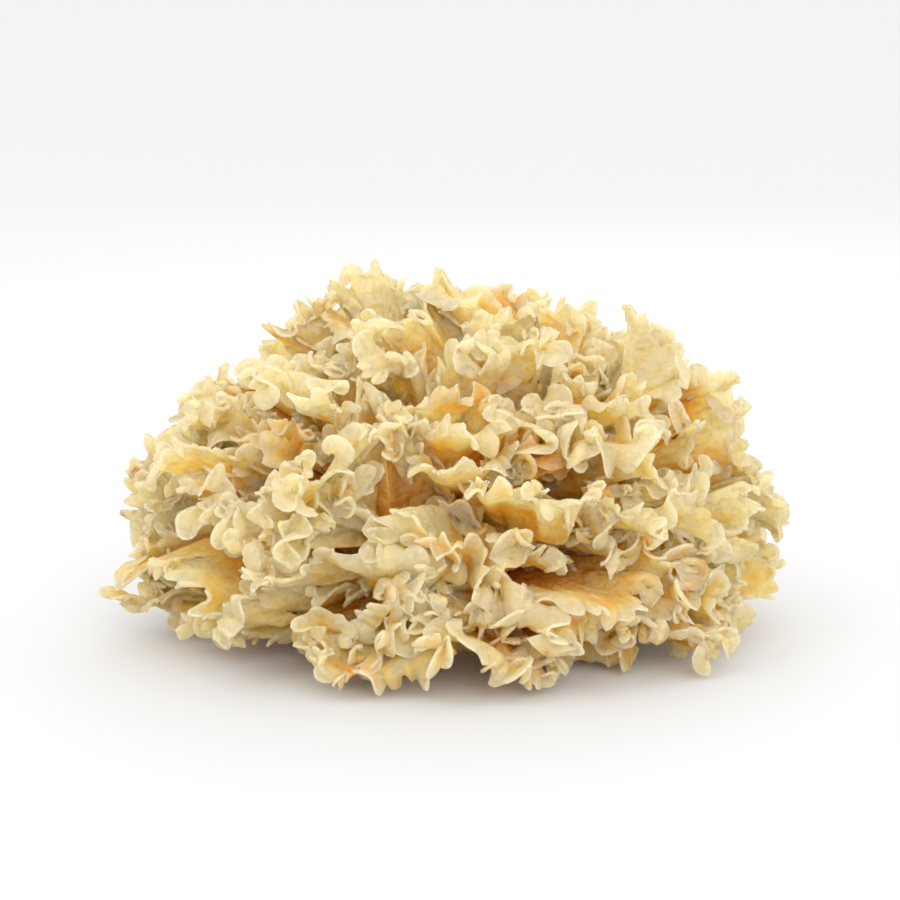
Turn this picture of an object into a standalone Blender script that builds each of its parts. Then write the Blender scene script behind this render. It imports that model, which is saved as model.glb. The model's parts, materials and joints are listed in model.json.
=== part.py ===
"""A dried snow fungus head: one frilled body, cut off flat where it grew.

Run with: blender --background --python part.py
Units are metres, +Z is up, and the origin is the middle of the cut face.
"""
import math
import random

import bmesh
import bpy
from mathutils import Matrix, Vector, noise

# Size of the head, from its heart to the mean reach of the fronds
HEART = Vector((0.0, 0.0, 0.011))
REACH_X = 0.0545
REACH_Y = 0.0480
REACH_Z = 0.0470

# The foot is the hard heart that every frond grows from
FOOT_CUT_RADIUS = 0.0175
FOOT_WIDEST_RADIUS = 0.0195
FOOT_WIDEST_HEIGHT = 0.0080
FOOT_TOP = 0.0285
FOOT_SHOULDER_STEPS = 6
FOOT_SIDES = 28
FOOT_LUMP = 0.0012
FOOT_LUMPS_PER_METRE = 120
FOOT_BELOW_CUT = 0.0030
SAME_POINT = 0.00005

# Fronds, set out in an even spiral from the crown down past the widest line
FROND_COUNT = 96
LOWEST_FROND = math.radians(107)
GOLDEN_ANGLE = math.pi * (3 - math.sqrt(5))
HALF_FAN = math.radians(14.5)
ROOT_SHARE = 0.16
FROND_THICKNESS = 0.0022
FROND_COLUMNS = 18
FROND_ROWS = 10
SEED = 4

# What differs from one frond to the next: its turn, its width and length as shares, and its own noise
MOST_TURN = math.radians(40)
WIDTH_RANGE = (0.85, 1.2)
LENGTH_RANGE = (0.92, 1.05)
CHARACTER_RANGE = (0, 100)

# The margin of a frond: crowned in the middle, round at its corners, with a few broad waves
CROWNING = 0.08
CORNER_ROUND = 0.34
CORNER_POWER = 8
MARGIN_WAVE_DEPTH = 0.12
MARGIN_WAVES = 2.3
MARGIN_SPREAD = 1.7
MARGIN_PLACE = 0.3

# Broad swellings and hollows of the whole head, as a share of the reach
SWELLING_DEPTH = 0.05
SWELLING_SCALE = 5
SWELLING_PLACE = Vector((9, 9, 9))

# Lowest point that a drooping frond may reach, and where it starts to flatten
DROOP_FLOOR = 0.0020
DROOP_START = 0.0100

# The line in the noise that the places of the folds lie on
FOLD_LINE = Vector((1.0, -0.7, 1.3))

# Each fold turns a frond's directions sideways: its width and depth are angles seen from the heart
FOLDS = (
    {"width": 0.62, "depth": 0.20, "onset": 0.8, "drift": 1.8, "steps": 4, "place": 3.1},
    {"width": 0.27, "depth": 0.27, "onset": 1.2, "drift": 1.6, "steps": 5, "place": 17.7},
)

# The skin that joins the fronds to the foot: the grain it is made at, and the share of its faces kept
SKIN_GRAIN = 0.0012
SKIN_FACES_KEPT = 0.055
CUT_TOLERANCE = 0.00001

COLOUR = (0.86, 0.68, 0.32, 1.0)
ROUGHNESS = 0.55


def clear_scene():
    for obj in list(bpy.data.objects):
        bpy.data.objects.remove(obj)


def new_collection(name):
    collection = bpy.data.collections.new(name)
    bpy.context.scene.collection.children.link(collection)
    return collection


def fungus_material():
    material = bpy.data.materials.new("dried_fungus")
    material.use_nodes = True
    shader = material.node_tree.nodes["Principled BSDF"]
    shader.inputs["Base Color"].default_value = COLOUR
    shader.inputs["Roughness"].default_value = ROUGHNESS
    shader.inputs["Metallic"].default_value = 0.0
    return material


def folded(way, grown):
    """The direction way, bent by every fold. Grown is 0 at the root and 1 at the margin."""
    for fold in FOLDS:
        place = FOLD_LINE * fold["place"]
        turn = fold["depth"] / fold["steps"] * grown ** fold["onset"]
        for _ in range(fold["steps"]):
            at = way / fold["width"] + Vector((0, 0, grown * fold["drift"])) + place
            way = (way + turn * noise.noise_vector(at)).normalized()
    return way


def above_table(height):
    """Heights under DROOP_START are pressed together, and none passes DROOP_FLOOR."""
    if height >= DROOP_START:
        return height
    room = DROOP_START - DROOP_FLOOR
    return DROOP_FLOOR + room * math.exp((height - DROOP_START) / room)


def margin_reach(across, character):
    """How far a frond reaches at this place across it, as a share: round corners and uneven waves."""
    at = Vector((across * MARGIN_WAVES + character, character * MARGIN_SPREAD, MARGIN_PLACE))
    rounded = 1 - CROWNING * across ** 2 - CORNER_ROUND * abs(across) ** CORNER_POWER
    return rounded * (1 + MARGIN_WAVE_DEPTH * noise.noise(at))


def frond_point(axis, across_axis, half_fan, length, character, u, v):
    """A point of a frond: u runs from -1 to 1 across it, and v from 0 at the root to 1 at the margin."""
    margin = length * margin_reach(u, character)
    reach = ROOT_SHARE + (margin - ROOT_SHARE) * v
    grown = min(1.0, (reach - ROOT_SHARE) / (1 - ROOT_SHARE))
    way = folded((axis + across_axis * math.tan(half_fan * u)).normalized(), grown)
    reach *= 1 + SWELLING_DEPTH * noise.noise(way * SWELLING_SCALE + SWELLING_PLACE)
    point = HEART + Vector((way.x * REACH_X, way.y * REACH_Y, way.z * REACH_Z)) * reach
    point.z = above_table(point.z)
    return point


def spiral_axis(index):
    """The middle direction of a frond, on an even spiral down from the crown."""
    share = (index + 0.5) / FROND_COUNT
    up = 1 - share * (1 - math.cos(LOWEST_FROND))
    round_angle = index * GOLDEN_ANGLE
    flat = math.sqrt(1 - up * up)
    axis = Vector((flat * math.cos(round_angle), flat * math.sin(round_angle), up))
    level = Vector((-math.sin(round_angle), math.cos(round_angle), 0))
    return axis, level


def add_frond(index, draw, collection):
    axis, level = spiral_axis(index)
    across_axis = Matrix.Rotation(draw.uniform(-MOST_TURN, MOST_TURN), 3, axis) @ level
    half_fan = HALF_FAN * draw.uniform(*WIDTH_RANGE)
    length = draw.uniform(*LENGTH_RANGE)
    character = draw.uniform(*CHARACTER_RANGE)

    bm = bmesh.new()
    bmesh.ops.create_grid(bm, x_segments=FROND_COLUMNS, y_segments=FROND_ROWS, size=1.0)
    for vert in bm.verts:
        u = vert.co.x
        v = (vert.co.y + 1) / 2
        vert.co = frond_point(axis, across_axis, half_fan, length, character, u, v)
    mesh = bpy.data.meshes.new(f"frond_{index:02d}")
    bm.to_mesh(mesh)
    bm.free()

    frond = bpy.data.objects.new(mesh.name, mesh)
    collection.objects.link(frond)
    frond.hide_render = True
    frond.display_type = "WIRE"
    wall = frond.modifiers.new("Wall", "SOLIDIFY")
    wall.thickness = FROND_THICKNESS
    wall.offset = 0.0
    return frond


def foot_profile():
    """Radius and height from the top of the foot down its outer side to the cut."""
    points = []
    for step in range(FOOT_SHOULDER_STEPS + 1):
        angle = math.pi / 2 * step / FOOT_SHOULDER_STEPS
        rise = FOOT_TOP - FOOT_WIDEST_HEIGHT
        points.append((FOOT_WIDEST_RADIUS * math.sin(angle), FOOT_WIDEST_HEIGHT + rise * math.cos(angle)))
    points.append((FOOT_CUT_RADIUS, 0.0))
    points.append((FOOT_CUT_RADIUS, -FOOT_BELOW_CUT))
    points.append((0.0, -FOOT_BELOW_CUT))
    return points


def add_foot(collection):
    """The foot as a turned solid, then made a mesh and its side made lumpy."""
    bm = bmesh.new()
    verts = [bm.verts.new((radius, 0.0, height)) for radius, height in foot_profile()]
    for first, second in zip(verts, verts[1:]):
        bm.edges.new((first, second))
    outline = bpy.data.meshes.new("foot_outline")
    bm.to_mesh(outline)
    bm.free()

    turned = bpy.data.objects.new("foot_outline", outline)
    collection.objects.link(turned)
    screw = turned.modifiers.new("Turn", "SCREW")
    screw.steps = FOOT_SIDES
    screw.render_steps = FOOT_SIDES
    screw.use_merge_vertices = True
    screw.merge_threshold = SAME_POINT
    graph = bpy.context.evaluated_depsgraph_get()
    mesh = bpy.data.meshes.new_from_object(turned.evaluated_get(graph))
    bpy.data.objects.remove(turned)

    for vert in mesh.vertices:
        out = Vector((vert.co.x, vert.co.y, 0.0))
        if vert.co.z > 0 and out.length > 0:
            vert.co += out.normalized() * FOOT_LUMP * noise.noise(vert.co * FOOT_LUMPS_PER_METRE)
    foot = bpy.data.objects.new("fruiting_body", mesh)
    collection.objects.link(foot)
    return foot


def join_fronds(foot, fronds):
    """The foot and its fronds grown together: one skin, with few enough faces to build with."""
    graph = bpy.context.evaluated_depsgraph_get()
    bm = bmesh.new()
    for shape in (foot, *fronds.objects):
        bm.from_mesh(shape.evaluated_get(graph).to_mesh())
        shape.evaluated_get(graph).to_mesh_clear()
    bm.to_mesh(foot.data)
    bm.free()

    skin = foot.modifiers.new("Grown_together", "REMESH")
    skin.mode = "VOXEL"
    skin.voxel_size = SKIN_GRAIN
    fewer = foot.modifiers.new("Fewer_faces", "DECIMATE")
    fewer.ratio = SKIN_FACES_KEPT


def keep_outer_skin(bm):
    """Only the largest closed skin stays, so sealed bubbles between fronds are filled."""
    skins = []
    left = set(bm.verts)
    while left:
        skin = []
        waiting = [left.pop()]
        while waiting:
            vert = waiting.pop()
            skin.append(vert)
            beside = [edge.other_vert(vert) for edge in vert.link_edges]
            waiting += [other for other in beside if other in left]
            left.difference_update(beside)
        skins.append(skin)
    skins.sort(key=len)
    for skin in skins[:-1]:
        bmesh.ops.delete(bm, geom=skin, context="VERTS")


def cut_flat(foot):
    """The picker's cut: everything below the origin comes off, and the cut is one flat face."""
    graph = bpy.context.evaluated_depsgraph_get()
    mesh = bpy.data.meshes.new_from_object(foot.evaluated_get(graph))
    bm = bmesh.new()
    bm.from_mesh(mesh)
    keep_outer_skin(bm)
    bmesh.ops.triangulate(bm, faces=bm.faces[:])
    cut = bmesh.ops.bisect_plane(
        bm, geom=bm.verts[:] + bm.edges[:] + bm.faces[:], dist=CUT_TOLERANCE,
        plane_co=(0, 0, 0), plane_no=(0, 0, -1), clear_outer=True,
    )
    rim = [edge for edge in cut["geom_cut"] if isinstance(edge, bmesh.types.BMEdge)]
    bmesh.ops.triangle_fill(bm, edges=rim, use_beauty=True, normal=(0, 0, -1))
    bmesh.ops.recalc_face_normals(bm, faces=bm.faces[:])
    bmesh.ops.triangulate(bm, faces=bm.faces[:])
    bm.to_mesh(mesh)
    bm.free()
    foot.modifiers.clear()
    foot.data = mesh


def main():
    clear_scene()
    head = new_collection("snow_fungus")
    shapes = new_collection("frond_shapes")
    draw = random.Random(SEED)
    noise.seed_set(SEED)
    foot = add_foot(head)
    for index in range(FROND_COUNT):
        add_frond(index, draw, shapes)
    join_fronds(foot, shapes)
    cut_flat(foot)
    foot.data.materials.append(fungus_material())


main()
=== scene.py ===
# %% [markdown]
# # A dried snow fungus head
#
# A snow fungus head is a rosette of thin jelly lobes that all grow from one hard foot. Drying
# shrinks the jelly to curled, frilled sheets, pale at their edges and amber where they join.
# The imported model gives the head's size and its large folds. This script grows the same lobes
# again from the same few numbers, and then adds what the solid leaves out: fine frills, toothed
# edges, short inner lobes, a wrinkled foot, and the colour and gloss of the dried jelly.

# %% Load the frame
import json
import math
import random

import bmesh
import bpy
from mathutils import Matrix, Vector, noise

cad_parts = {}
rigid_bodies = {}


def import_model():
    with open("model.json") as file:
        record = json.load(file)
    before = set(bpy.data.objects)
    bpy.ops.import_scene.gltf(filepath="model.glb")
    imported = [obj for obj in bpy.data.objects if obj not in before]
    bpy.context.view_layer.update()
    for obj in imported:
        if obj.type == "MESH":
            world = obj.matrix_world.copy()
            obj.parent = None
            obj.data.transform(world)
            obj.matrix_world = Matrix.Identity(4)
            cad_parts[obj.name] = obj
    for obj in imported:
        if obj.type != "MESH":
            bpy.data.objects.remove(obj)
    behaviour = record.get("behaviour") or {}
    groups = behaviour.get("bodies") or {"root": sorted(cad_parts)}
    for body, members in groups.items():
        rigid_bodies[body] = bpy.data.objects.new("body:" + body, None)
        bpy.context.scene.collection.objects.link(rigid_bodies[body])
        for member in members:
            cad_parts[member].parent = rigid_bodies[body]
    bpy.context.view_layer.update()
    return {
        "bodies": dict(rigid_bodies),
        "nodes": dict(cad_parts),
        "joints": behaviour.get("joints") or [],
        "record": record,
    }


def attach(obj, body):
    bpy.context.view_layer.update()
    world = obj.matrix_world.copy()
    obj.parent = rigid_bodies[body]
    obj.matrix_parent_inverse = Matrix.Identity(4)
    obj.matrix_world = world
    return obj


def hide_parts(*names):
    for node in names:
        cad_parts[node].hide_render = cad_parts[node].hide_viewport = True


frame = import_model()

# %% [markdown]
# ## The numbers that the whole head follows
#
# Every lobe grows out of one heart, low in the middle of the head. A lobe is described by
# directions seen from that heart, as if it were painted on a globe, and by how far it reaches
# along each direction. Three reaches make the globe an oval: wide along X, less so along Y.
# These values and the four random draws of each lobe are the ones that the solid was made with,
# so each fine lobe follows a plain one.

# %% Driving sizes, in metres and radians
HEART = Vector((0.0, 0.0, 0.011))
REACH_X = 0.0545
REACH_Y = 0.0480
REACH_Z = 0.0470
FROND_COUNT = 96
LOWEST_FROND = math.radians(107)
GOLDEN_ANGLE = math.pi * (3 - math.sqrt(5))
HALF_FAN = math.radians(14.5)
MOST_TURN = math.radians(40)
WIDTH_RANGE = (0.85, 1.2)
LENGTH_RANGE = (0.92, 1.05)
CHARACTER_RANGE = (0, 100)
SEED = 4
DROOP_FLOOR = 0.0020
DROOP_START = 0.0100

noise.seed_set(SEED)
print("fronds:", FROND_COUNT, "on an oval of", REACH_X * 2, "by", REACH_Y * 2, "by", REACH_Z, "m")

# %% [markdown]
# ## Folds, from broad waves to small frills
#
# A jelly lobe grows faster at its edge than at its root, so it has to fold, and the folds carry
# smaller folds. Each entry below is one size of fold. Its width and depth are angles seen from
# the heart, and its onset says how early it starts: a high onset keeps the fold near the edge.
# The folding is done to directions and not to a single lobe. Neighbours are bent alike, so
# they nest in each other as the real ones do, and seldom cut through each other.

# %% The fold table and the bending of a direction
FOLD_LINE = Vector((1.0, -0.7, 1.3))
FOLDS = (
    {"width": 0.62, "depth": 0.20, "onset": 0.8, "drift": 1.8, "steps": 4, "place": 3.1},
    {"width": 0.27, "depth": 0.27, "onset": 1.2, "drift": 1.6, "steps": 5, "place": 17.7},
    {"width": 0.130, "depth": 0.07, "onset": 2.0, "drift": 2.4, "steps": 4, "place": 41.3},
)


def folded(way, grown):
    """The direction way, bent by every fold. Grown is 0 at the root and 1 at the margin."""
    for fold in FOLDS:
        place = FOLD_LINE * fold["place"]
        turn = fold["depth"] / fold["steps"] * grown ** fold["onset"]
        for _ in range(fold["steps"]):
            at = way / fold["width"] + Vector((0, 0, grown * fold["drift"])) + place
            way = (way + turn * noise.noise_vector(at)).normalized()
    return way


for fold in FOLDS:
    print("a fold about", round(fold["width"] * REACH_X * 1000, 1), "mm wide at the margin")

# %% [markdown]
# ## How far a lobe reaches
#
# The edge is never a clean arc. It runs in and out in two or three broad waves, and its corners
# are round. Small notches part it into scallops, and it is finely toothed where the jelly tore
# or dried unevenly. The broad waves are the solid's. The notches and teeth are added here.

# %% Shape of the margin
ROOT_SHARE = 0.16
CROWNING = 0.08
CORNER_ROUND = 0.34
CORNER_POWER = 8
MARGIN_WAVE_DEPTH = 0.12
MARGIN_WAVES = 2.3
MARGIN_SPREAD = 1.7
MARGIN_PLACE = 0.3
NOTCH_DEPTH = 0.0036
NOTCHES_ACROSS = 5.5
NOTCH_WIDTH = 0.20
NOTCH_SPREAD = 2.3
NOTCH_PLACE = 8.1
TOOTH_DEPTH = 0.0034
TOOTH_WIDTH = 0.0010
TOOTH_PLACE = 5.3


def above_table(height):
    """Heights under DROOP_START are pressed together, and none passes DROOP_FLOOR."""
    if height >= DROOP_START:
        return height
    room = DROOP_START - DROOP_FLOOR
    return DROOP_FLOOR + room * math.exp((height - DROOP_START) / room)


def broad_margin(across, character):
    """The solid's margin: how far a lobe reaches at this place across it, as a share of its length."""
    at = Vector((across * MARGIN_WAVES + character, character * MARGIN_SPREAD, MARGIN_PLACE))
    rounded = 1 - CROWNING * across ** 2 - CORNER_ROUND * abs(across) ** CORNER_POWER
    return rounded * (1 + MARGIN_WAVE_DEPTH * noise.noise(at))


def cut_of_margin(across, run, character):
    """What the notches and teeth add to the reach here, in metres, or take from it."""
    notch_at = Vector((across * NOTCHES_ACROSS + character, character * NOTCH_SPREAD, NOTCH_PLACE))
    scallop = abs(noise.noise(notch_at))
    tooth = noise.noise(Vector((run / TOOTH_WIDTH, character, TOOTH_PLACE)))
    return TOOTH_DEPTH * tooth - NOTCH_DEPTH * (1 - math.sqrt(min(1.0, scallop / NOTCH_WIDTH)))


print("a lobe reaches", round(broad_margin(0, 0), 3), "of its length in its middle, and",
      round(broad_margin(1, 0), 3), "at its corner")


# %% [markdown]
# ## The sheet inside the edge
#
# Most of a lobe is a wavy sheet. It starts as a plain fan in the globe of directions, waves are
# added that move it aside, more and more towards its edge, and then the folds bend it all. The
# sheet ends a few millimetres short of the margin, where the rolled edge takes over.

# %% Points of the sheet
WAVES = (
    {"depth": 0.13, "across": 4.0, "along": 1.2, "spread": 0.9},
    {"depth": 0.05, "across": 10.5, "along": 2.5, "spread": 1.9},
)
LEAN_ONSET = 1.2
EDGE_WIDTH = 0.0037
MEAN_REACH = (REACH_X + REACH_Y + REACH_Z) / 3
SWELLING_DEPTH = 0.05
SWELLING_SCALE = 5
SWELLING_PLACE = Vector((9, 9, 9))


def wave(lobe, across, along):
    """How far the sheet stands off its own plane here, as an angle seen from the heart."""
    wide = across * lobe["half_fan"] / HALF_FAN
    character = lobe["character"]
    aside = 0.0
    for kind in WAVES:
        at = Vector((wide * kind["across"] + character, along * kind["along"], character * kind["spread"]))
        aside += kind["depth"] * noise.noise(at) * along ** 2
    return aside


def sheet_point(lobe, across, along):
    """A point of the sheet: across runs from -1 to 1, along from 0 at its start to 1 at the roll."""
    outer = lobe["length"] * broad_margin(across, lobe["character"]) - lobe["edge_width"] / MEAN_REACH
    reach = lobe["start"] + (outer - lobe["start"]) * along
    grown = max(0.0, min(1.0, (reach - ROOT_SHARE) / (1 - ROOT_SHARE)))
    way = lobe["axis"] + lobe["across_axis"] * math.tan(lobe["half_fan"] * across)
    way += lobe["out"] * (math.tan(lobe["lean"]) * along ** LEAN_ONSET + wave(lobe, across, along))
    way = folded(way.normalized(), grown)
    reach *= 1 + SWELLING_DEPTH * noise.noise(way * SWELLING_SCALE + SWELLING_PLACE)
    point = HEART + Vector((way.x * REACH_X, way.y * REACH_Y, way.z * REACH_Z)) * reach
    point.z = above_table(point.z)
    return point


print("waves of", [round(kind["depth"] * MEAN_REACH * 1000, 1) for kind in WAVES], "mm at most")


# %% [markdown]
# ## The rolled edge
#
# A drying edge shrinks more on one face than on the other, so it rolls up, now to one side and
# now to the other. Here the last strip of a lobe is bent to an arc. At each place its arc starts
# in line with the sheet, and a noise along the edge says how tightly it turns and to which side.
# Where the noise changes sign the edge swings over, and that makes the frills.

# %% Roll the edge
MOST_ROLL = 6.0
ROLL_LENGTH = 0.0034
FRILL_DEPTH = 0.0021
FRILL_LENGTH = 0.0016
ROLL_CHANGE = 0.5
FRILL_SPREAD = 1.3
FRILL_PLACE = 4.2
LEAST_BEND = 0.01
LEAST_WIDTH = 0.2
JUST_INSIDE = 0.9


def edge_frames(lobe, places, window):
    """Where the roll starts, and its outward and standing directions, each a mean over a window."""
    feet = [sheet_point(lobe, place, 1.0) for place in places]
    insides = [sheet_point(lobe, place, JUST_INSIDE) for place in places]
    outwards = [(foot - inside).normalized() for foot, inside in zip(feet, insides)]
    last = len(places) - 1
    standing = []
    for column, outward in enumerate(outwards):
        sideways = feet[min(column + 1, last)] - feet[max(column - 1, 0)]
        standing.append(outward.cross(sideways).normalized())
    frames = []
    for column, foot in enumerate(feet):
        beside = range(max(column - window, 0), min(column + window, last) + 1)
        outward = sum((outwards[other] for other in beside), Vector()).normalized()
        stand = sum((standing[other] for other in beside), Vector()).normalized()
        frames.append((foot, outward, stand))
    return frames


def rolled_point(lobe, across, frame, run, share):
    """A point of the edge: run is metres along it, and share is 0 at its foot and 1 at the margin."""
    foot, outward, stand = frame
    character = lobe["character"]
    curl = lobe["edge_width"] / EDGE_WIDTH
    width = lobe["edge_width"] + cut_of_margin(across, run, character)
    width = max(width, lobe["edge_width"] * LEAST_WIDTH)
    bend = MOST_ROLL * noise.noise(Vector((run / ROLL_LENGTH / curl, character, share * ROLL_CHANGE)))
    if abs(bend) < LEAST_BEND:
        bend = LEAST_BEND
    frill_at = Vector((run / FRILL_LENGTH, character * FRILL_SPREAD, FRILL_PLACE))
    frill = FRILL_DEPTH * share ** 2 * noise.noise(frill_at)
    turned = bend * share
    ahead = width * math.sin(turned) / bend - frill * math.sin(turned)
    aside = width * (1 - math.cos(turned)) / bend + frill * math.cos(turned)
    return foot + outward * ahead + stand * aside


print("the roll is", EDGE_WIDTH * 1000, "mm wide and changes side about every", ROLL_LENGTH * 1000, "mm")


# %% [markdown]
# ## Columns where they are needed
#
# The folds stretch a lobe in some places and squeeze it in others. Columns that are even across
# the fan would leave long flat cells on the stretched curls and waste cells on the squeezed ones.
# So the edge is first walked in small steps, and the longer of the two lengths of each step, at
# the foot of the roll and at its margin, is added up. The columns then lie evenly in that length.
# Their number is a multiple of four, because the grid below doubles its columns twice.

# %% Spread the columns of a lobe
CELL_WIDTH = 0.00081
INNER_CELL_WIDTH = 0.00127
FINE_STEPS = 320
WALK_WINDOW = 4
LOBE_WINDOW = 2
COARSEST = 4


def even_columns(lobe, cell_width):
    """Places across a lobe, and the metres along its edge at each, for cells about this wide."""
    places = [2 * step / FINE_STEPS - 1 for step in range(FINE_STEPS + 1)]
    frames = edge_frames(lobe, places, WALK_WINDOW)
    run = [0.0]
    for first, second in zip(frames, frames[1:]):
        run.append(run[-1] + (second[0] - first[0]).length)
    margin = [rolled_point(lobe, *known, 1.0) for known in zip(places, frames, run)]
    measure = [0.0]
    for step in range(FINE_STEPS):
        longer = max(run[step + 1] - run[step], (margin[step + 1] - margin[step]).length)
        measure.append(measure[-1] + longer)
    columns = COARSEST * round(measure[-1] / cell_width / COARSEST)
    even = []
    step = 0
    for column in range(columns + 1):
        wanted = measure[-1] * column / columns
        while step < FINE_STEPS - 1 and measure[step + 1] < wanted:
            step += 1
        share = (wanted - measure[step]) / (measure[step + 1] - measure[step])
        even.append(tuple(known[step] + (known[step + 1] - known[step]) * share for known in (places, run)))
    return even


print("cells", round(CELL_WIDTH * 1000, 2), "mm wide on main lobes, and",
      round(INNER_CELL_WIDTH * 1000, 2), "mm on inner ones")


# %% [markdown]
# ## Where the lobes stand
#
# Lobes are set out on a spiral whose turn from one to the next is the golden angle. It spreads
# any number of them evenly over the dome, from the crown down past the widest line. Each one
# then gets its own turn, width, length and character from a random generator with a fixed seed,
# so the head comes out the same each time.

# %% List the main lobes
TINT_SEED = 23
draw = random.Random(SEED)
tint = random.Random(TINT_SEED)
MAIN_START = 0.33
CURL_RANGE = (0.75, 1.40)


def spiral_axis(index):
    """The middle direction of a lobe, on an even spiral down from the crown."""
    share = (index + 0.5) / FROND_COUNT
    up = 1 - share * (1 - math.cos(LOWEST_FROND))
    round_angle = index * GOLDEN_ANGLE
    flat = math.sqrt(1 - up * up)
    axis = Vector((flat * math.cos(round_angle), flat * math.sin(round_angle), up))
    level = Vector((-math.sin(round_angle), math.cos(round_angle), 0))
    return axis, level


def main_lobe(index):
    """What one long lobe is made from."""
    axis, level = spiral_axis(index)
    across_axis = Matrix.Rotation(draw.uniform(-MOST_TURN, MOST_TURN), 3, axis) @ level
    half_fan = HALF_FAN * draw.uniform(*WIDTH_RANGE)
    length = draw.uniform(*LENGTH_RANGE)
    character = draw.uniform(*CHARACTER_RANGE)
    return {
        "axis": axis, "across_axis": across_axis, "out": axis.cross(across_axis),
        "half_fan": half_fan, "length": length, "character": character,
        "start": MAIN_START, "lean": 0.0, "tone": tint.random(),
        "edge_width": EDGE_WIDTH * tint.uniform(*CURL_RANGE),
    }


main_lobes = [main_lobe(index) for index in range(FROND_COUNT)]
print("main lobes:", len(main_lobes))

# %% [markdown]
# ## Short inner lobes
#
# Between the long lobes stand shorter ones that split off them part of the way up. They fill
# the hollows with small curls and make the surface dense. Each main lobe gets one, on a side
# that is drawn at random, and it leans away from its parent as it grows.

# %% List the inner lobes
INNER_START = 0.45
INNER_FAN_RANGE = (0.55, 0.90)
INNER_LENGTH_RANGE = (0.78, 0.97)
LEAST_LEAN = math.radians(5)
MOST_LEAN = math.radians(11)
MOST_SLIP = math.radians(9)


def inner_lobe(parent, side):
    """A short lobe beside its parent, leaning to one side of it."""
    slip = Matrix.Rotation(tint.uniform(-MOST_SLIP, MOST_SLIP), 3, parent["out"])
    lobe = dict(parent)
    lobe["axis"] = (slip @ parent["axis"]).normalized()
    lobe["across_axis"] = slip @ parent["across_axis"]
    lobe["half_fan"] = parent["half_fan"] * tint.uniform(*INNER_FAN_RANGE)
    lobe["length"] = parent["length"] * tint.uniform(*INNER_LENGTH_RANGE)
    lobe["character"] = tint.uniform(*CHARACTER_RANGE)
    lobe["start"] = INNER_START
    lobe["lean"] = side * tint.uniform(LEAST_LEAN, MOST_LEAN)
    lobe["tone"] = tint.random()
    lobe["edge_width"] = EDGE_WIDTH * tint.uniform(*CURL_RANGE)
    return lobe


inner_lobes = [inner_lobe(parent, tint.choice((-1, 1))) for parent in main_lobes]
print("inner lobes:", len(inner_lobes))

# %% [markdown]
# ## From numbers to sheets
#
# A lobe starts as a flat grid with few columns, which are split in two at the start of the rolled
# edge and once more in its outer part, because a frill needs finer cells than the sheet. Then every
# point is moved to its place. The columns lie evenly along the real edge, which is several times as
# long as the fan is wide, so no frill is short of cells. Three values stay on each point for the
# colour. A Solidify modifier gives the sheet the thickness of dried jelly.

# %% Make a storey of lobes
MAIN_CELLS = {"width": CELL_WIDTH, "rows": (4, 2, 3)}
INNER_CELLS = {"width": INNER_CELL_WIDTH, "rows": (3, 1, 2)}
LAYERS = ("reach", "edge", "tone")
LOWEST_POINT = 0.0008
LOBE_THICKNESS = 0.0004
THICKNESS_CLAMP = 0.8
SHARP_FOLD = math.radians(55)


def lobe_grid(bm, columns, rows):
    """The points of a flat grid from -1 to 1, whose columns double at each new band of rows."""
    old_verts, old_edges = len(bm.verts), len(bm.edges)
    bmesh.ops.create_grid(bm, x_segments=columns // COARSEST, y_segments=sum(rows), size=1.0)
    for band in range(1, len(rows)):
        below_band = 2 * (sum(rows[:band]) - 0.5) / sum(rows) - 1
        crosswise = []
        for edge in bm.edges[:][old_edges:]:
            first, second = edge.verts
            if first.co.y == second.co.y and first.co.y > below_band:
                crosswise.append(edge)
        bmesh.ops.subdivide_edges(bm, edges=crosswise, cuts=1)
    return bm.verts[:][old_verts:]


def add_lobe(bm, lobe, cells):
    """Adds one lobe to the mesh."""
    even = even_columns(lobe, cells["width"])
    frames = edge_frames(lobe, [place for place, run in even], LOBE_WINDOW)
    columns = len(even) - 1
    rows = sum(cells["rows"])
    sheet_rows = cells["rows"][0]
    for vert in lobe_grid(bm, columns, cells["rows"]):
        column = round((vert.co.x + 1) / 2 * columns)
        row = round((vert.co.y + 1) / 2 * rows)
        across, run = even[column]
        inside = min(1.0, row / sheet_rows)
        share = max(0.0, (row - sheet_rows) / (rows - sheet_rows))
        if share == 0.0:
            vert.co = sheet_point(lobe, across, inside)
        else:
            vert.co = rolled_point(lobe, across, frames[column], run, share)
        vert.co.z = max(vert.co.z, LOWEST_POINT)
        edge_reach = lobe["edge_width"] / MEAN_REACH
        reach = lobe["start"] + (lobe["length"] - edge_reach - lobe["start"]) * inside
        values = (reach + share * edge_reach, share, lobe["tone"])
        for name, value in zip(LAYERS, values):
            vert[bm.verts.layers.float[name]] = value


def storey(name, lobes, cells):
    """One mesh object with these lobes, thickened."""
    bm = bmesh.new()
    for layer in LAYERS:
        bm.verts.layers.float.new(layer)
    for lobe in lobes:
        add_lobe(bm, lobe, cells)
    mesh = bpy.data.meshes.new(name)
    bm.to_mesh(mesh)
    bm.free()
    piece = bpy.data.objects.new(name, mesh)
    bpy.context.scene.collection.objects.link(piece)
    wall = piece.modifiers.new("Thickness", "SOLIDIFY")
    wall.thickness = LOBE_THICKNESS
    wall.offset = 0.0
    wall.thickness_clamp = THICKNESS_CLAMP
    graph = bpy.context.evaluated_depsgraph_get()
    piece.data = bpy.data.meshes.new_from_object(piece.evaluated_get(graph))
    piece.modifiers.clear()
    piece.data.shade_smooth()
    piece.data.set_sharp_from_angle(angle=SHARP_FOLD)
    print(name, "triangles", sum(len(face.vertices) - 2 for face in piece.data.polygons))
    return piece


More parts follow.
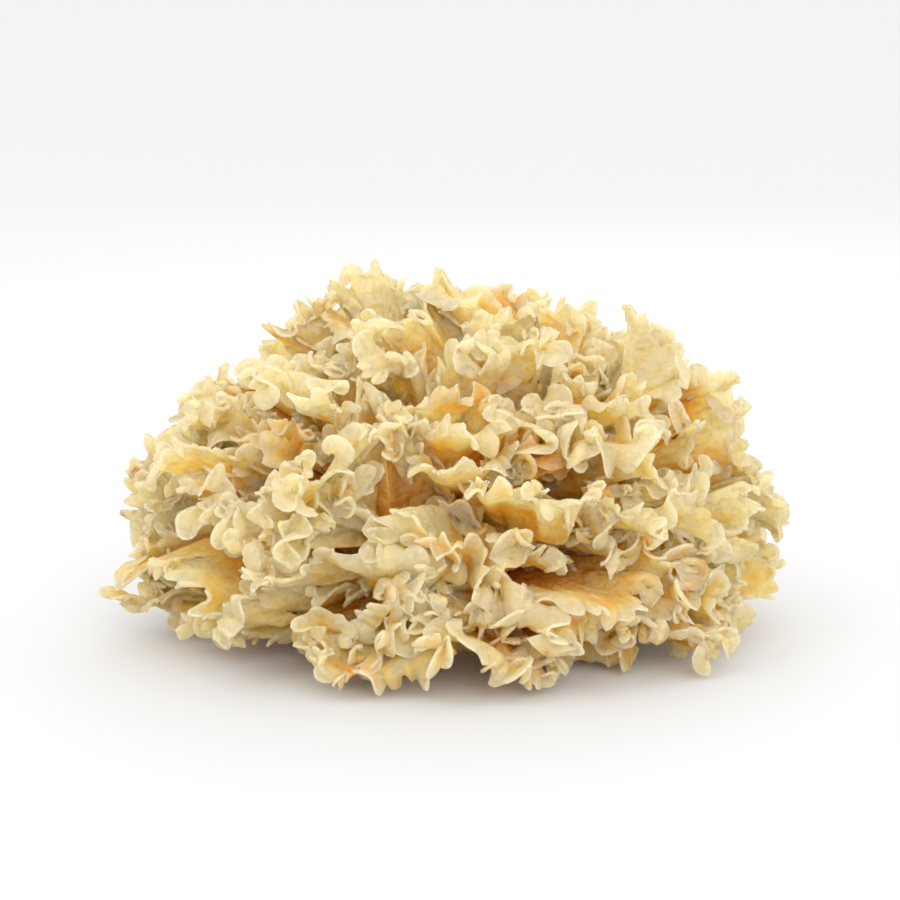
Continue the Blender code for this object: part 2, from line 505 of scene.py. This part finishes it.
STOREYS = ("crown", "shoulder", "side", "skirt")
STOREY_SIZE = FROND_COUNT // len(STOREYS)
fungus = []
for order, part_name in enumerate(STOREYS):
    share = slice(order * STOREY_SIZE, (order + 1) * STOREY_SIZE)
    fungus.append(storey(part_name + "_lobes", main_lobes[share], MAIN_CELLS))
    fungus.append(storey(part_name + "_inner_lobes", inner_lobes[share], INNER_CELLS))
print("lobe triangles:", sum(len(face.vertices) - 2 for piece in fungus for face in piece.data.polygons))

# %% [markdown]
# ## The foot
#
# The foot is the hard knot that the lobes grow from, cut across where the head was picked. It is
# a turned profile, which Blender's spin makes in one step, and then every point is moved a little:
# the outline is lumpy, ridges run down the side where lobes branch off, and the cut face has
# shrunk to a shallow hollow with wrinkles and pits. Only its rim is level. The spin lists its edges
# and faces in another order each time, so they are sorted, and every run stores the same mesh.

# %% Spin the foot
FOOT_CUT_RADIUS = 0.0175
FOOT_WIDEST_RADIUS = 0.0195
FOOT_WIDEST_HEIGHT = 0.0080
FOOT_TOP = 0.0285
FOOT_STEPS = 192
DOME_ROWS = 10
SIDE_ROWS = 12
FACE_ROWS = 26
SAME_POINT = 0.000002
MORE_THAN_POINTS = 100000


def foot_profile():
    """Radius and height, from the top down the side and in along the cut face."""
    points = []
    for step in range(DOME_ROWS + 1):
        angle = math.pi / 2 * step / DOME_ROWS
        rise = FOOT_TOP - FOOT_WIDEST_HEIGHT
        points.append((FOOT_WIDEST_RADIUS * math.sin(angle), FOOT_WIDEST_HEIGHT + rise * math.cos(angle)))
    for step in range(1, SIDE_ROWS + 1):
        share = step / SIDE_ROWS
        radius = FOOT_WIDEST_RADIUS + (FOOT_CUT_RADIUS - FOOT_WIDEST_RADIUS) * share ** 2
        points.append((radius, FOOT_WIDEST_HEIGHT * (1 - share)))
    for step in range(1, FACE_ROWS + 1):
        points.append((FOOT_CUT_RADIUS * (1 - step / FACE_ROWS), 0.0))
    return points


def order_number(part):
    """A number of its own for each edge or face of a spin, from its last and first point."""
    points = [vert.index for vert in part.verts]
    return max(points) * MORE_THAN_POINTS + min(points)


def spun(profile, steps):
    """A bmesh turned from a profile of radius and height."""
    bm = bmesh.new()
    verts = [bm.verts.new((radius, 0.0, height)) for radius, height in profile]
    edges = [bm.edges.new(pair) for pair in zip(verts, verts[1:])]
    bmesh.ops.spin(
        bm, geom=verts + edges, cent=(0, 0, 0), axis=(0, 0, 1), angle=math.tau,
        steps=steps, use_merge=True,
    )
    bm.verts.index_update()
    bm.edges.sort(key=order_number)
    bm.faces.sort(key=order_number)
    bmesh.ops.remove_doubles(bm, verts=bm.verts[:], dist=SAME_POINT)
    bmesh.ops.recalc_face_normals(bm, faces=bm.faces[:])
    return bm


print("the foot's profile has", len(foot_profile()), "points, turned in", FOOT_STEPS, "steps")


# %% Roughen the foot
FOOT_LUMP = 0.0022
FOOT_RIDGE = 0.0013
FACE_HOLLOW = 0.0009
FACE_WRINKLE = 0.0016
FACE_PIT = 0.0036
LUMPS_ROUND = 1.4
LUMP_PLACE = Vector((0.0, 0.0, 3.0))
RIDGES_ROUND = 6
RIDGE_BEND = 45
PITS_PER_METRE = 260
BENDS_PER_METRE = 120
PIT_BEND = 1.5
PIT_ONSET = 0.10
WRINKLES_ROUND = 3.5
WRINKLE_BEND = 0.35
RIM_SHARPNESS = 8


def side_relief(around, height):
    """How far the side stands out here: broad lumps, and ridges where lobes branch off."""
    broad = noise.noise(around * LUMPS_ROUND + LUMP_PLACE)
    ridge = 0.5 - 2 * abs(noise.noise(around * RIDGES_ROUND + Vector((0.0, 0.0, height * RIDGE_BEND))))
    return FOOT_LUMP * broad + FOOT_RIDGE * ridge


def face_relief(spot, around, rim):
    """How deep the cut face lies here: a hollow, outward wrinkles and pits, but none at the rim."""
    bent = spot * PITS_PER_METRE + noise.noise_vector(spot * BENDS_PER_METRE) * PIT_BEND
    wrinkle = abs(noise.noise(around * WRINKLES_ROUND * rim + bent * WRINKLE_BEND))
    pit = max(0.0, noise.noise(bent) - PIT_ONSET)
    inside = 1 - rim ** RIM_SHARPNESS
    return (FACE_HOLLOW * (1 - rim ** 2) + FACE_WRINKLE * wrinkle + FACE_PIT * pit) * inside


bm = spun(foot_profile(), FOOT_STEPS)
depth_layer = bm.verts.layers.float.new("depth")
for vert in bm.verts:
    spot = Vector((vert.co.x, vert.co.y, 0.0))
    height = vert.co.z
    rim = min(1.0, spot.length / FOOT_CUT_RADIUS)
    around = spot.normalized()
    vert.co += around * side_relief(around, height) * rim
    if height < SAME_POINT:
        vert.co.z = face_relief(spot, around, rim)
        vert[depth_layer] = vert.co.z / FACE_HOLLOW
foot_mesh = bpy.data.meshes.new("foot")
bm.to_mesh(foot_mesh)
bm.free()
foot_mesh.shade_smooth()
foot = bpy.data.objects.new("foot", foot_mesh)
bpy.context.scene.collection.objects.link(foot)
fungus.append(foot)
print("foot triangles:", sum(len(face.vertices) - 2 for face in foot_mesh.polygons))

# %% [markdown]
# ## Colour and gloss of the dried jelly
#
# Dried jelly is clear enough that light comes through a lobe, so the shader mixes a glossy
# surface with a translucent one of a warmer colour. The colour follows the lobe: amber where it
# leaves the foot, straw yellow on the way, cream at the edge, where it is thinnest. The amber
# towards the root is partly the jelly's own colour and partly painted shade of the hollows.
# The edges that reach the outside are the palest; rims deeper in the head are whitened less,
# which is painted shade too. Each lobe has its own tone, and soft clouds break up both.
# Wrinkles too fine for the mesh are a bump.

# %% Helpers for the shader trees
def add_node(tree, kind, **values):
    """A new node with these settings."""
    node = tree.nodes.new(kind)
    for name, value in values.items():
        setattr(node, name, value)
    return node


def ramp(tree, stops, source):
    """A colour ramp with these stops, fed by source."""
    node = add_node(tree, "ShaderNodeValToRGB")
    elements = node.color_ramp.elements
    while len(elements) < len(stops):
        elements.new(0.5)
    for element, (place, colour) in zip(elements, stops):
        element.position = place
        element.color = (*colour, 1.0)
    tree.links.new(source, node.inputs[0])
    return node.outputs[0]


def number(tree, action, first, second, third=None):
    """A Math node; each value is a number or a socket."""
    node = add_node(tree, "ShaderNodeMath", operation=action)
    for socket, value in zip(node.inputs, (first, second, third)):
        if value is None:
            continue
        if isinstance(value, (int, float)):
            socket.default_value = value
        else:
            tree.links.new(value, socket)
    return node.outputs[0]


def cloud(tree, where, size, detail=2.0):
    """Noise with lumps of about this size, in metres."""
    node = add_node(tree, "ShaderNodeTexNoise")
    node.inputs["Scale"].default_value = 1 / size
    node.inputs["Detail"].default_value = detail
    tree.links.new(where, node.inputs["Vector"])
    return node.outputs["Fac"]


def mixed(tree, action, amount, first, second):
    """A colour mix; amount is a number or a socket."""
    node = add_node(tree, "ShaderNodeMix", data_type="RGBA", blend_type=action)
    if isinstance(amount, (int, float)):
        node.inputs["Factor"].default_value = amount
    else:
        tree.links.new(amount, node.inputs["Factor"])
    for socket, value in zip((node.inputs[6], node.inputs[7]), (first, second)):
        if isinstance(value, tuple):
            socket.default_value = (*value, 1.0)
        else:
            tree.links.new(value, socket)
    return node.outputs[2]


def attribute(tree, name):
    """A value that was kept on the points of the mesh."""
    return add_node(tree, "ShaderNodeAttribute", attribute_name=name).outputs["Fac"]


def off_middle(tree, value):
    """A value from 0 to 1, moved to run from -0.5 to 0.5."""
    return number(tree, "SUBTRACT", value, 0.5)


def bumped(tree, relief, strength, distance):
    """A normal that follows a relief, where a height of 1 stands out by distance, in metres."""
    bump = add_node(tree, "ShaderNodeBump")
    bump.inputs["Strength"].default_value = strength
    bump.inputs["Distance"].default_value = distance
    tree.links.new(relief, bump.inputs["Height"])
    return bump.outputs[0]


def grey(value):
    """The same share of red, green and blue."""
    return (value, value, value)


# %% Material of the lobes
CLOUD_SIZE = 0.006
CLOUD_SHARE = 0.9
TONE_SHARE = 0.22
# Amber towards the root: partly the jelly's own colour, partly painted shade of the hollows.
LOBE_COLOURS_AND_HOLLOW_SHADE = (
    (0.60, (0.985, 0.600, 0.125)),
    (0.78, (0.990, 0.785, 0.275)),
    (0.90, (0.990, 0.895, 0.475)),
    (1.00, (0.990, 0.935, 0.640)),
)
RIM_COLOUR = (0.985, 0.950, 0.775)
RIM_SHARES = ((0.45, grey(0.0)), (0.8, grey(0.45)), (1.0, grey(0.95)))
# Rims deep in the head get less of the pale rim colour: painted shade of the hollows.
RIM_PALE_OUTSIDE_SHADED_INSIDE = ((0.74, grey(0.30)), (0.96, grey(1.0)))
GLOW_TINT = (1.0, 0.955, 0.860)
GLOW_SHARE = 0.80
LOBE_ROUGHNESS = 0.42
LOBE_SPECULAR = 0.18
DIMPLE_SIZE = 0.0019
DIMPLE_SHARE = 1.9
CREASE_SIZE = 0.0032
CREASE_SHARE = 3.0
LOBE_BUMP = 0.0009


def lobe_material():
    """Glossy and translucent jelly: amber inside, partly as painted shade, and cream at the rim."""
    material = bpy.data.materials.new("dried_jelly_lobe")
    material.use_nodes = True
    tree = material.node_tree
    surface = tree.nodes["Principled BSDF"]
    output = tree.nodes["Material Output"]
    place = add_node(tree, "ShaderNodeTexCoord").outputs["Object"]
    reach, edge, tone = [attribute(tree, name) for name in LAYERS]
    clouds = cloud(tree, place, CLOUD_SIZE)
    along = number(tree, "MULTIPLY_ADD", off_middle(tree, clouds), CLOUD_SHARE, reach)
    along = number(tree, "MULTIPLY_ADD", off_middle(tree, tone), TONE_SHARE, along)
    # Picked by reach, so the deeper amber also paints shade into the hollows between lobes.
    colour = ramp(tree, LOBE_COLOURS_AND_HOLLOW_SHADE, along)
    # The thin rim is paler, fully only where it reaches the outside; inner rims keep painted shade.
    rim = number(tree, "MULTIPLY", ramp(tree, RIM_SHARES, edge), ramp(tree, RIM_PALE_OUTSIDE_SHADED_INSIDE, reach))
    colour = mixed(tree, "MIX", rim, colour, RIM_COLOUR)
    through = mixed(tree, "MULTIPLY", 1.0, colour, GLOW_TINT)
    tree.links.new(colour, surface.inputs["Base Color"])
    surface.inputs["Roughness"].default_value = LOBE_ROUGHNESS
    surface.inputs["Specular IOR Level"].default_value = LOBE_SPECULAR
    dimples = cloud(tree, place, DIMPLE_SIZE, 1.0)
    creases = number(tree, "ABSOLUTE", off_middle(tree, cloud(tree, place, CREASE_SIZE, 1.0)), 0.0)
    relief = number(tree, "MULTIPLY", dimples, DIMPLE_SHARE)
    relief = number(tree, "MULTIPLY_ADD", creases, CREASE_SHARE, relief)
    normal = bumped(tree, relief, 1.0, LOBE_BUMP)
    tree.links.new(normal, surface.inputs["Normal"])
    glow = add_node(tree, "ShaderNodeBsdfTranslucent")
    tree.links.new(through, glow.inputs["Color"])
    tree.links.new(normal, glow.inputs["Normal"])
    blend = add_node(tree, "ShaderNodeMixShader")
    blend.inputs[0].default_value = GLOW_SHARE
    tree.links.new(surface.outputs[0], blend.inputs[1])
    tree.links.new(glow.outputs[0], blend.inputs[2])
    tree.links.new(blend.outputs[0], output.inputs["Surface"])
    return material


# %% [markdown]
# The foot is dull and mottled. Its fibres run outwards from the heart, so their noise is read at
# the direction of a point and at its distance, and the pits of the cut face are darker.

# %% Material of the foot
FIBRES_ROUND = 7.0
FIBRES_PER_METRE = 260.0
FIBRE_SHARE = 0.35
BLOTCH_SIZE = 0.0045
FOOT_COLOURS = (
    (0.32, (0.40, 0.165, 0.035)),
    (0.50, (0.64, 0.350, 0.095)),
    (0.68, (0.80, 0.560, 0.230)),
)
SUNK_COLOURS = ((0.35, grey(1.0)), (0.9, (0.55, 0.38, 0.26)))
SUNK_SHARE = 0.5
FOOT_ROUGHNESS = 0.6
GRAIN_SIZE = 0.0011
GRAIN_SHARE = 0.6
FOOT_BUMP = 0.0006
FOOT_BUMP_STRENGTH = 0.8


def turned_place(tree, place, turns, outwards):
    """Coordinates for a grain that runs outwards: the direction of place, and its length as height."""
    flat = add_node(tree, "ShaderNodeVectorMath", operation="MULTIPLY")
    flat.inputs[1].default_value = (1.0, 1.0, 0.0)
    tree.links.new(place, flat.inputs[0])
    around = add_node(tree, "ShaderNodeVectorMath", operation="NORMALIZE")
    tree.links.new(flat.outputs[0], around.inputs[0])
    wider = add_node(tree, "ShaderNodeVectorMath", operation="SCALE")
    wider.inputs["Scale"].default_value = turns
    tree.links.new(around.outputs[0], wider.inputs[0])
    reach = add_node(tree, "ShaderNodeVectorMath", operation="LENGTH")
    tree.links.new(place, reach.inputs[0])
    height = add_node(tree, "ShaderNodeCombineXYZ")
    tree.links.new(number(tree, "MULTIPLY", reach.outputs["Value"], outwards), height.inputs[2])
    both = add_node(tree, "ShaderNodeVectorMath", operation="ADD")
    tree.links.new(wider.outputs[0], both.inputs[0])
    tree.links.new(height.outputs[0], both.inputs[1])
    return both.outputs[0]


def foot_material():
    """Dull mottled brown, darker in the pits of the cut face."""
    material = bpy.data.materials.new("hard_foot")
    material.use_nodes = True
    tree = material.node_tree
    surface = tree.nodes["Principled BSDF"]
    place = add_node(tree, "ShaderNodeTexCoord").outputs["Object"]
    depth = attribute(tree, "depth")
    fibres = cloud(tree, turned_place(tree, place, FIBRES_ROUND, FIBRES_PER_METRE), 1.0, 3.0)
    blotches = cloud(tree, place, BLOTCH_SIZE, 4.0)
    tone = number(tree, "MULTIPLY_ADD", off_middle(tree, fibres), FIBRE_SHARE, blotches)
    colour = ramp(tree, FOOT_COLOURS, tone)
    sunk = ramp(tree, SUNK_COLOURS, number(tree, "MULTIPLY", depth, SUNK_SHARE))
    colour = mixed(tree, "MULTIPLY", 1.0, colour, sunk)
    tree.links.new(colour, surface.inputs["Base Color"])
    surface.inputs["Roughness"].default_value = FOOT_ROUGHNESS
    relief = number(tree, "MULTIPLY_ADD", cloud(tree, place, GRAIN_SIZE, 3.0), GRAIN_SHARE, fibres)
    normal = bumped(tree, relief, FOOT_BUMP_STRENGTH, FOOT_BUMP)
    tree.links.new(normal, surface.inputs["Normal"])
    return material


# %% Give each piece its material
jelly = lobe_material()
hard = foot_material()
for piece in fungus:
    piece.data.materials.append(hard if piece is foot else jelly)
print("materials:", jelly.name, "with", len(jelly.node_tree.nodes), "nodes, and",
      hard.name, "with", len(hard.node_tree.nodes))

# %% [markdown]
# ## Tie the pieces to the model
#
# The head is one body, so every piece rides on it and stands for its one solid.

# %% Ride and replace
for piece in fungus:
    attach(piece, "root")
    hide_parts("fruiting_body")
print("pieces:", [piece.name for piece in fungus])

# %% [markdown]
# ## Floor, light and camera
#
# The head stands in a wide pale dish. Its floor curves up all round, so no line shows where floor
# and wall meet, from whatever side the head is seen. Most of the light comes from a white sky, so
# the hollows stay pale. A soft light from the upper left models the folds, a broad one fills the
# front, and one from behind shines through the lobes. The broad one hangs well above the floor,
# so its edge draws no line there. A view gamma over 1 lifts the hollows a little more.

# %% A round dish to stand on
FLOOR_RADIUS = 0.5
DISH_RADIUS = 1.5
DISH_HEIGHT = 0.55
DISH_RISE_STEPS = 16
DISH_STEPS = 96
DISH_GREY = 0.58
DISH_ROUGHNESS = 0.8


def dish_profile():
    """Radius and height: a level floor that curves up to a rim."""
    points = [(0.0, 0.0), (FLOOR_RADIUS, 0.0)]
    for step in range(1, DISH_RISE_STEPS + 1):
        angle = math.pi / 2 * step / DISH_RISE_STEPS
        radius = FLOOR_RADIUS + (DISH_RADIUS - FLOOR_RADIUS) * math.sin(angle)
        points.append((radius, DISH_HEIGHT * (1 - math.cos(angle))))
    return points


bm = spun(dish_profile(), DISH_STEPS)
dish_mesh = bpy.data.meshes.new("dish")
bm.to_mesh(dish_mesh)
bm.free()
dish_mesh.shade_smooth()
pale = bpy.data.materials.new("pale_sheet")
pale.use_nodes = True
surface = pale.node_tree.nodes["Principled BSDF"]
surface.inputs["Base Color"].default_value = (*grey(DISH_GREY), 1.0)
surface.inputs["Roughness"].default_value = DISH_ROUGHNESS
dish_mesh.materials.append(pale)
dish = bpy.data.objects.new("dish", dish_mesh)
bpy.context.scene.collection.objects.link(dish)
print("dish:", DISH_RADIUS * 2, "m across")

# %% Soft light
MIDDLE = Vector((0.0, 0.0, 0.030))
SKY_STRENGTH = 1.55


def soft_light(name, place, energy, size):
    """A square lamp at this place, turned to the head."""
    light = bpy.data.lights.new(name, "AREA")
    light.energy = energy
    light.size = size
    lamp = bpy.data.objects.new(name, light)
    lamp.location = place
    lamp.rotation_euler = (MIDDLE - Vector(place)).to_track_quat("-Z", "Y").to_euler()
    bpy.context.scene.collection.objects.link(lamp)


soft_light("key_light", (-0.40, -0.30, 0.55), 0.7, 0.25)
soft_light("fill_light", (0.20, -0.75, 0.42), 2.4, 0.50)
soft_light("back_light", (0.10, 0.50, 0.40), 0.7, 0.35)

world = bpy.data.worlds.new("pale_room")
bpy.context.scene.world = world
world.use_nodes = True
sky = world.node_tree.nodes["Background"]
sky.inputs[0].default_value = (*grey(1.0), 1.0)
sky.inputs[1].default_value = SKY_STRENGTH
print("lamps:", [lamp.name for lamp in bpy.data.lights], "and a sky of", SKY_STRENGTH)

# %% Camera at the height the photograph was taken from
ELEVATION = math.radians(11)
DISTANCE = 0.36
LENS_LENGTH = 85
SOFTER_TONES = 1.34

lens = bpy.data.cameras.new("camera")
lens.lens = LENS_LENGTH
camera = bpy.data.objects.new("camera", lens)
camera.location = MIDDLE + Vector((0, -math.cos(ELEVATION), math.sin(ELEVATION))) * DISTANCE
camera.rotation_euler = (MIDDLE - camera.location).to_track_quat("-Z", "Y").to_euler()
bpy.context.scene.collection.objects.link(camera)
bpy.context.scene.camera = camera
bpy.context.scene.view_settings.view_transform = "Standard"
bpy.context.scene.view_settings.gamma = SOFTER_TONES
print("camera at", [round(value, 3) for value in camera.location], "with a lens of", LENS_LENGTH, "mm")
